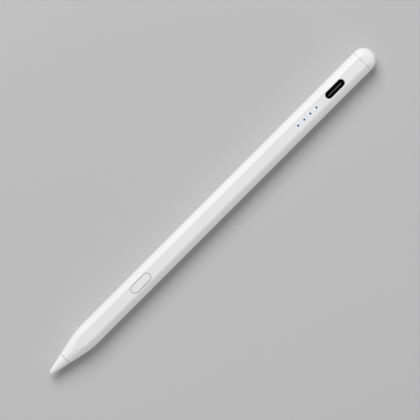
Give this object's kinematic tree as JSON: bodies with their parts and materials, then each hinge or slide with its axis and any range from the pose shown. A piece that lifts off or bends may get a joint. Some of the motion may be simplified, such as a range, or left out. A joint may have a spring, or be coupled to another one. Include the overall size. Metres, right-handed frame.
{
  "type": "stylus pen",
  "caption": "Slim white active stylus with a flatted round barrel, tapered nose, removable nib, side button, charge lights and a charging socket in its side.",
  "frame": {"origin": "middle of the pen's length, on the surface that its underside flat rests on", "axes": "+X from the nib to the domed end, +Z out of the flat that carries the button and the socket"},
  "size_m": [0.166, 0.009, 0.0082],
  "materials": {
    "white_shell": "satin white moulded plastic",
    "white_key": "satin white moulded plastic",
    "nib_plastic": "fine matte wear-resistant plastic",
    "insert_brass": "turned",
    "rod_steel": "turned",
    "bush_plastic": "moulded",
    "electrode": "rolled strip",
    "spring_steel": "drawn wire",
    "chassis_plastic": "moulded",
    "circuit_board": "solder mask",
    "chip_black": "moulded",
    "sensor_metal": "plated",
    "switch_metal": "stamped",
    "clear_guide": "clear, lit blue from below",
    "led_body": "epoxy",
    "socket_steel": "drawn and black-plated",
    "socket_black": "moulded",
    "contact_gold": "gold flash",
    "magnet_nickel": "nickel plate",
    "battery_can": "drawn can",
    "lead_red": "insulation",
    "lead_black": "insulation",
    "flex_film": "polyimide film",
    "screw_steel": "turned"
  },
  "bodies": {
    "pen_body": {"barrel": "white_shell", "end_cap": "white_shell", "nose_bush": "bush_plastic", "ring_electrode": "electrode", "return_spring": "spring_steel", "chassis": "chassis_plastic", "sensor_board": "circuit_board", "tip_sensor": "sensor_metal", "front_board": "circuit_board", "rear_board": "circuit_board", "controller_chip": "chip_black", "boost_coil": "chip_black", "charge_chip": "chip_black", "board_screws": "screw_steel", "switch_base": "chip_black", "switch_dome": "switch_metal", "switch_cover": "switch_metal", "leds": "led_body", "light_guide": "clear_guide", "usb_shell": "socket_steel", "usb_insert": "socket_black", "usb_contacts": "contact_gold", "magnets": "magnet_nickel", "battery_cell": "battery_can", "battery_lead_red": "lead_red", "battery_lead_black": "lead_black", "flex_link": "flex_film"},
    "tip_rod": {"tip_rod": "rod_steel"},
    "nib": {"nib": "nib_plastic", "nib_insert": "insert_brass"},
    "function_button": {"function_button": "white_key"},
    "switch_plunger": {"switch_plunger": "bush_plastic"}
  },
  "joints": [
    {"name": "tip_press", "type": "slide", "parent": "pen_body", "child": "tip_rod", "axis": [1, 0, 0], "range_m": [0, 0.00012], "stiffness_N_per_m": 800, "springref_m": -0.0004, "deforming": ["return_spring"]},
    {"name": "nib_pull", "type": "slide", "parent": "tip_rod", "child": "nib", "axis": [-1, 0, 0], "range_m": [0, 0.006]},
    {"name": "button_press", "type": "slide", "parent": "pen_body", "child": "function_button", "axis": [0, 0, -1], "range_m": [0, 0.00025], "stiffness_N_per_m": 2000, "springref_m": -0.0003, "deforming": ["switch_dome"]},
    {"name": "plunger_press", "type": "slide", "parent": "pen_body", "child": "switch_plunger", "axis": [0, 0, -1], "range_m": [0, 0.00025]}
  ],
  "couplings": [
    {"joint": "plunger_press", "follows": "button_press", "ratio": 1}
  ]
}
